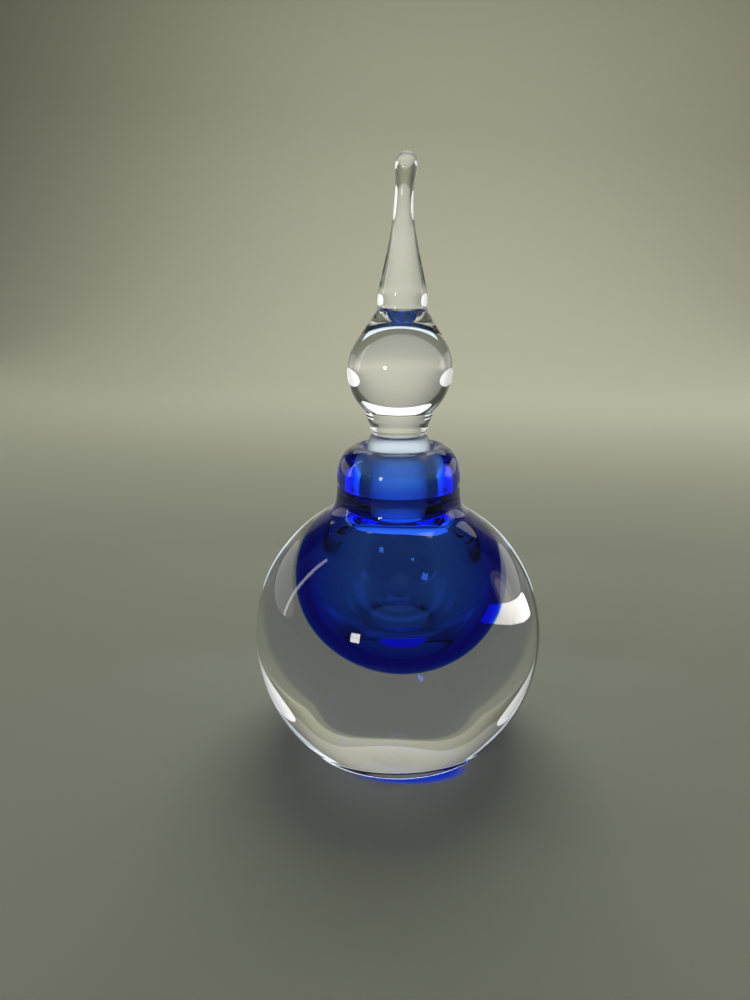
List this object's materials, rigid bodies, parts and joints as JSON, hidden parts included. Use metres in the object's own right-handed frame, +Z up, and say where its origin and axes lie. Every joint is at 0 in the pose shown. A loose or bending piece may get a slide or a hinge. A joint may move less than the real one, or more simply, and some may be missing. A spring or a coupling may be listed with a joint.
{
  "type": "perfume bottle with glass stopper",
  "caption": "Round hand-blown perfume bottle of thick clear glass over a blue inner bulb, with a tall ball-and-spire glass stopper.",
  "frame": {"origin": "centre of the flat ground base", "axes": "+Z up along the bottle's axis of revolution; the bottle is turned, so +X and +Y are free"},
  "size_m": [0.075, 0.075, 0.1474],
  "materials": {
    "clear_glass": "fire polished clear glass, base ground and polished flat",
    "cobalt_glass": "transparent cobalt blue glass",
    "stopper_glass": "fire polished clear glass, peg ground matt"
  },
  "bodies": {
    "bottle": {"bottle_casing": "clear_glass", "cobalt_lining": "cobalt_glass", "lip_ring": "clear_glass"},
    "stopper": {"stopper": "stopper_glass"}
  },
  "joints": [
    {"name": "stopper_lift", "type": "slide", "parent": "bottle", "child": "stopper", "axis": [0, 0, 1], "range_m": [0, 0.04]}
  ]
}
